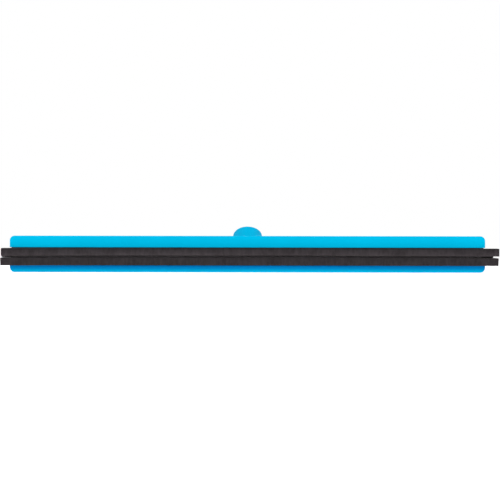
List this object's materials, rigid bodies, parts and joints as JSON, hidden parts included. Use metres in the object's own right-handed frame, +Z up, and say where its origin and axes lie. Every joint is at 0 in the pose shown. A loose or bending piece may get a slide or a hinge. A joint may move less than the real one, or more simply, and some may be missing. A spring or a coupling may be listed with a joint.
{
  "type": "twin-blade squeegee head",
  "caption": "Wide squeegee head: a channelled plastic bar holds a slide-in cartridge with two foam-rubber blades, and a leaning threaded socket behind it takes a pole.",
  "frame": {"origin": "middle of the bar's flat underside", "axes": "+X along the bar, towards the cartridge's end stop; -Y the way the blades reach; +Z up, away from the face it lies on"},
  "size_m": [0.6032, 0.1123, 0.0568],
  "materials": {
    "bar_plastic": "bright blue moulded polypropylene, fine satin texture",
    "bush_plastic": "dark grey glass-filled nylon",
    "screw_steel": "plain stainless",
    "core_plastic": "pale grey extruded plastic",
    "clamp_aluminium": "black anodised aluminium strip",
    "rivet_aluminium": "plain aluminium rivets",
    "blade_rubber": "black closed-cell foam rubber, cut faces"
  },
  "bodies": {
    "frame": {"frame_bar": "bar_plastic", "handle_socket": "bar_plastic", "threaded_bush": "bush_plastic", "socket_screws": "screw_steel"},
    "cartridge": {"core_rail": "core_plastic", "upper_clamp_strip": "clamp_aluminium", "lower_clamp_strip": "clamp_aluminium", "blade_rivets": "rivet_aluminium", "upper_blade_root": "blade_rubber", "lower_blade_root": "blade_rubber"},
    "upper_lip": {"upper_blade_lip": "blade_rubber"},
    "lower_lip": {"lower_blade_lip": "blade_rubber"}
  },
  "joints": [
    {"name": "cartridge_slide", "type": "slide", "parent": "frame", "child": "cartridge", "axis": [1, 0, 0], "range_m": [0, 0.59]},
    {"name": "upper_lip_flex", "type": "hinge", "parent": "cartridge", "child": "upper_lip", "pos_m": [0, -0.017, 0.02475], "axis": [1, 0, 0], "range_deg": [-30, 30], "stiffness_Nm_per_rad": 1.6},
    {"name": "lower_lip_flex", "type": "hinge", "parent": "cartridge", "child": "lower_lip", "pos_m": [0, -0.017, 0.01325], "axis": [1, 0, 0], "range_deg": [-30, 30], "stiffness_Nm_per_rad": 1.6}
  ],
  "couplings": [
    {"joint": "lower_lip_flex", "follows": "upper_lip_flex", "ratio": 1}
  ]
}
